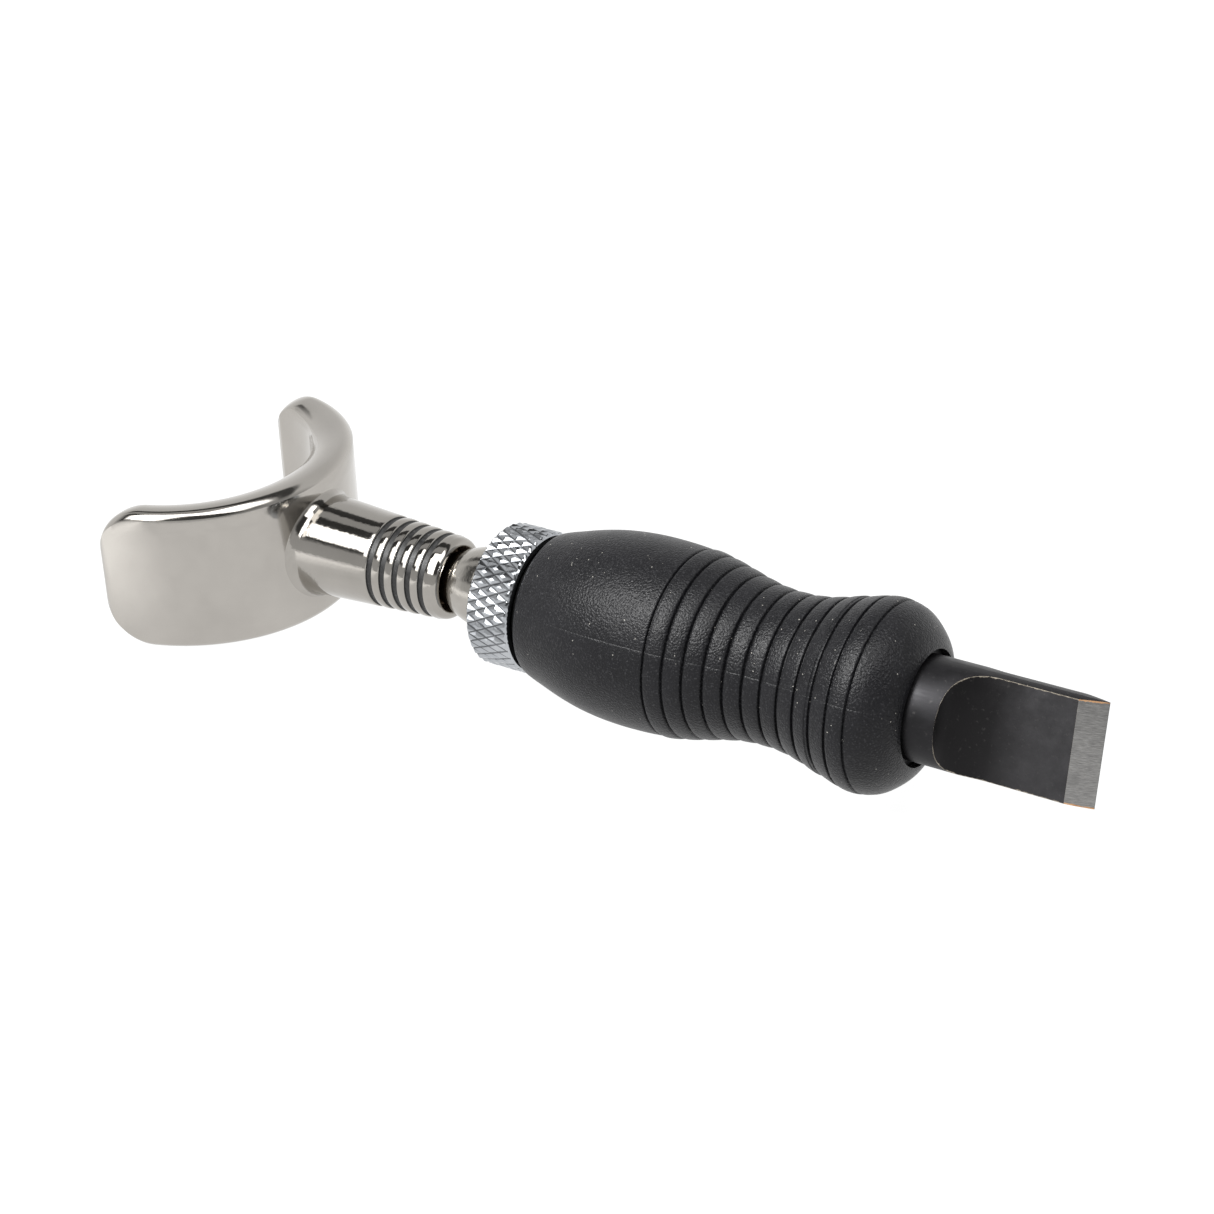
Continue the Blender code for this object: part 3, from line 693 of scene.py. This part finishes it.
def grip_radius(x):
    for (x0, r0), (x1, r1) in zip(GRIP_PATH, GRIP_PATH[1:]):
        if x0 <= x <= x1 and x1 > x0:
            return r0 + (r1 - r0) * (x - x0) / (x1 - x0)
    return GRIP_PATH[-1][1]


def ring_distance(x):
    nearest = min(RINGS - 1, max(0, round((x - FIRST_RING) / RING_PITCH)))
    return abs(x - (FIRST_RING + RING_PITCH * nearest))


def grip_relief(x):
    """Grooves with a soft lip, and bands that bulge a little between them, less so near the blade."""
    away = ring_distance(x)
    groove = 0.26 / (1 + (away / 0.105) ** 6)
    height = 0.0
    if FIRST_RING <= x <= LAST_RING:
        height = 0.15 if x < 30.5 else 0.04
    share = min(1.0, away / (RING_PITCH / 2))
    return height * (1 - (1 - share) ** 3) - groove - 0.012


def grip_piece():
    """The moulded grip, with its rings and its two mould seams."""
    outer = [(x, r - 0.012) for x, r in GRIP_PATH if x < 13.8]
    x = 13.8
    while x < 35.4:
        outer.append((x, grip_radius(x) + grip_relief(x)))
        x += 0.035 if ring_distance(x) < 0.3 else 0.1
    outer += [p for p in GRIP_PATH[:-1] if p[0] >= 35.4] + list(GRIP_MOUTH)
    angles = even_angles(288)
    for seam in SEAM_ANGLES:
        angles = [a for a in angles if abs(a - seam) > 0.026] + [seam + d for d in SEAM_STEPS]
    angles.sort()

    def radius_at(x, r, a):
        if r < 6.05 and x < 37.7:
            return r
        line = sum(math.exp(-(((a - seam) * r / 0.05) ** 2)) for seam in SEAM_ANGLES)
        return r - 0.04 * line * (1.0 if x < 37.0 else 0.3)

    shape = spun(outer, angles, radius_at)
    item = piece("moulded_grip", shape, BARREL, "barrel", ["grip"], [RUBBER], sharp=32.0)
    # Known fault: the grip's faces point inwards, and this cut leaves a pin 13 mm out where the hole belongs.
    drill(item, BARREL, BLADE_SCREW_X, 1.8, 5.0, 13.0)


# ---------------------------------------------------------------- blade
SHANK_R = 4.7625
FLAT_START = 41.0
FLAT_HALF = 0.91
RUN_OUT = 3.9
BEVEL_START = 51.85
BLADE_TIP = 54.3
EDGE_HALF = 0.03
BLADE_MATERIALS = [OXIDE, GROUND, EDGE, COPPERY, OXIDE_MILLED]


def mill_outline():
    """The cutter's outline over one side of the blade: the round run-out, the flat and the bevel."""
    outline = []
    for i in range(33):
        turn = math.pi / 2 * i / 32
        drop = (SHANK_R + 0.1 - FLAT_HALF) * math.sin(turn)
        outline.append((FLAT_START + RUN_OUT * (1 - math.cos(turn)), SHANK_R + 0.1 - drop))
    outline += [(BEVEL_START, FLAT_HALF), (BLADE_TIP, EDGE_HALF)]
    return outline + [(57.0, EDGE_HALF), (57.0, 8.0), (FLAT_START, 8.0)]


def blade_piece():
    """The round shank milled to a flat blade: each side is a flat with a round run-out, then the bevel."""
    tip = BLADE_TIP - 0.05
    shape = spun([
        (24.1, 0.02), (24.1, 2.0), (24.5, 2.4), (37.5, 2.4), (37.5, SHANK_R - 0.25), (37.75, SHANK_R),
        (tip, SHANK_R), (tip, 0.02),
    ], even_angles(192))
    item = piece("milled_blade", shape, BARREL, "blade", ["blade"], BLADE_MATERIALS)
    outline = mill_outline()
    size = len(outline)
    faces = [(k, (k + 1) % size, size + (k + 1) % size, size + k) for k in range(size)]
    faces += [tuple(range(size)), tuple(range(size, 2 * size))]
    for side in (-1.0, 1.0):
        verts = [(x, side * y, z) for z in (-8.0, 8.0) for x, y in outline]
        cut(item, added("mill", closed_mesh("mill", verts, faces, BARREL)))
    finish_blade(item)


def finish_blade(item):
    """Breaks the sharp edges a little and gives the flats, the bevel and the worn edges their own steel."""
    back = BARREL.inverted()
    oxide, ground, edge_wear, coppery, milled = range(len(BLADE_MATERIALS))

    def in_barrel(point):
        return (back @ point) / MM

    with editing(item.data) as shape:
        bmesh.ops.remove_doubles(shape, verts=shape.verts, dist=1e-7)
        bmesh.ops.dissolve_limit(shape, angle_limit=0.002, verts=shape.verts, edges=shape.edges)
        for face in shape.faces:
            centre = in_barrel(face.calc_center_median())
            face.material_index = oxide
            if FLAT_START < centre.x < 54.2 and math.hypot(centre.y, centre.z) < 4.7:
                face.material_index = ground if centre.x > 51.9 else milled
        edges = [
            edge for edge in shape.edges
            if len(edge.link_faces) == 2 and edge.calc_face_angle() >= math.radians(14)
            and min(in_barrel(v.co).x for v in edge.verts) > 40.9
        ]
        made = bmesh.ops.bevel(
            shape, geom=edges, offset=0.085 * MM, offset_type="OFFSET", segments=2, profile=0.5,
            affect="EDGES", clamp_overlap=True, material=edge_wear,
        )
        for face in made["faces"]:
            centre = in_barrel(face.calc_center_median())
            if centre.x > 51.9 and abs(centre.z) > 4.4:
                face.material_index = coppery
            elif centre.x > 54.1:
                face.material_index = ground
        shade(shape, 24.0)


saddle_piece()
stem_piece()
spindle_piece()
collar_piece()
seal_piece()
grip_piece()
blade_piece()

# ---------------------------------------------------------------- carried-over CAD pieces
CARRIED = {
    "barrel": OXIDE_SCREW, "preload_washer": SPRING, "bearing_outer_race": BRIGHT,
    "bearing_inner_race": BRIGHT, "bearing_cage": BRASS,
    "bearing_shield_upper": SPRING, "bearing_shield_lower": SPRING,
    "retaining_clip": SPRING, "lower_bush": BRONZE, "thrust_ball": BRIGHT,
    "yoke_set_screw": OXIDE_SCREW, "blade_set_screw": OXIDE_SCREW,
}
CARRIED.update({f"bearing_ball_{i}": BRIGHT for i in range(1, 8)})
for node, material in CARRIED.items():
    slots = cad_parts[node].data.materials
    slots.clear()
    slots.append(material)


# ---------------------------------------------------------------- floor, light and camera
def floor():
    """A pale light table that glows evenly, with painted light added: a bright patch in front on the left and
    a little extra glow further back.
    """
    mesh = bpy.data.meshes.new("studio_floor")
    mesh.from_pydata([(-3, -3, 0), (3, -3, 0), (3, 3, 0), (-3, 3, 0)], [], [(0, 1, 2, 3)])
    n = Nodes(bpy.data.materials.new("light_table"))
    split = n.parts(n.place)
    # Painted light: a bright patch of extra glow in front on the left.
    along = n.span(split["X"], -0.2, 0.0)
    painted_light_pool = n.ramp(along, (0.0, 0.0), (0.4, 0.1), (0.66, 0.7), (0.72, 0.65), (0.82, 0.0), (1.0, 0.0))
    painted_light_pool = n.math("MULTIPLY", painted_light_pool, n.span(split["Y"], -0.014, -0.026))
    cloud = n.span(n.noise(75.0, 2.0), 0.35, 0.65, 0.98, 1.06)
    # Painted light: a little extra glow further back.
    behind = n.span(split["Y"], 0.1, 0.4, 0.0, 0.12)
    n.set(
        Base_Color=n.ramp(n.noise(9.0, 3.0), (0.3, 0.038), (0.7, 0.042)),
        Emission_Color=(1.0, 1.0, 1.0, 1.0),
        Emission_Strength=n.math("ADD", n.math("ADD", painted_light_pool, cloud), behind),
        Roughness=0.9,
        Specular_IOR_Level=0.0,
    )
    mesh.materials.append(n.owner)
    added("studio_floor", mesh)


def softbox():
    """A large soft light, up in front on the left."""
    light = bpy.data.lights.new("left_front", "AREA")
    light.shape = "RECTANGLE"
    light.size = light.size_y = 0.2
    light.energy = 4.4
    item = added("left_front", light)
    place = Vector((-0.2, -0.35, 0.5))
    item.location = place
    item.rotation_euler = (-place).to_track_quat("-Z", "Y").to_euler()


# Each: (degrees up from the front horizon, over the top and down behind; share of full light)
TENT = (
    (0, 0.24), (24, 0.22), (32, 0.03), (86, 0.02), (89, 0.2), (104, 0.2), (107, 0.02), (121, 0.03),
    (125, 0.29), (150, 0.3), (174, 0.37), (180, 0.37),
)
WINDOW = ((0, 0.0), (35, 0.0), (38, 1.0), (66, 1.0), (69, 0.0), (180, 0.0))
RIGHT_WINDOW = ((0, 0.0), (66, 0.0), (69, 1.0), (98, 1.0), (102, 0.0), (180, 0.0))
TALL_WINDOW = ((0, 0.0), (25, 0.0), (29, 1.0), (82, 1.0), (86, 0.0), (180, 0.0))
WINDOW_LIGHT = (1.5, 1.5, 1.5, 1.0)
BLACK = (0.0, 0.0, 0.0, 1.0)


def sky():
    """A studio tent: grey walls, dark panels overhead, and windows taller on the left, higher on the right."""
    world = bpy.data.worlds.new("studio")
    bpy.context.scene.world = world
    n = Nodes(world, "Background", "Generated")
    split = n.parts(n.place)
    rise = n.math("ARCTAN2", split["Z"], n.math("MULTIPLY", split["Y"], -1.0))
    share = n.math("DIVIDE", rise, math.pi)

    def by_height(table):
        return n.ramp(share, *((degrees / 180, value) for degrees, value in table))

    window = n.mix(n.span(split["X"], -0.37, -0.33), by_height(WINDOW), by_height(TALL_WINDOW))
    window = n.mix(n.span(split["X"], 0.04, 0.12), window, by_height(RIGHT_WINDOW))
    lit = n.math("MULTIPLY", n.span(split["X"], -0.64, -0.5), n.span(split["X"], 0.8, 0.6))
    panes = n.mix(lit, BLACK, n.mix(1.0, window, WINDOW_LIGHT, "MULTIPLY"))
    light = n.mix(1.0, by_height(TENT), panes, "ADD")
    ends = n.span(n.math("ABSOLUTE", split["X"]), 0.72, 0.93)
    end_walls = n.ramp(n.span(split["X"], -0.5, 0.5), (0.0, 0.34), (1.0, 0.16))
    n.set(Color=n.mix(ends, light, end_walls), Strength=3.0)


def camera():
    """The camera, placed in the tool's frame and turned by its angles round, down and about its own axis."""
    lens = bpy.data.cameras.new("photo_view")
    lens.sensor_width = 36.0
    lens.lens = 80.0659
    lens.clip_start = 0.01
    item = added("photo_view", lens)
    around, down, roll = math.radians(32.698), math.radians(29.171), math.radians(2.142)
    ahead = Vector((-math.sin(around) * math.cos(down), math.cos(around) * math.cos(down), -math.sin(down)))
    right = Vector((math.cos(around), math.sin(around), 0.0))
    below = ahead.cross(right)
    across = right * math.cos(roll) + below * math.sin(roll)
    under = below * math.cos(roll) - right * math.sin(roll)
    turn = Matrix((across, -under, -ahead)).transposed().to_4x4()
    item.matrix_world = TOOL @ Matrix.Translation(Vector((122.037, -180.704, 121.263)) * MM) @ turn
    bpy.context.scene.camera = item


floor()
softbox()
sky()
camera()
bpy.context.scene.view_settings.view_transform = "Standard"
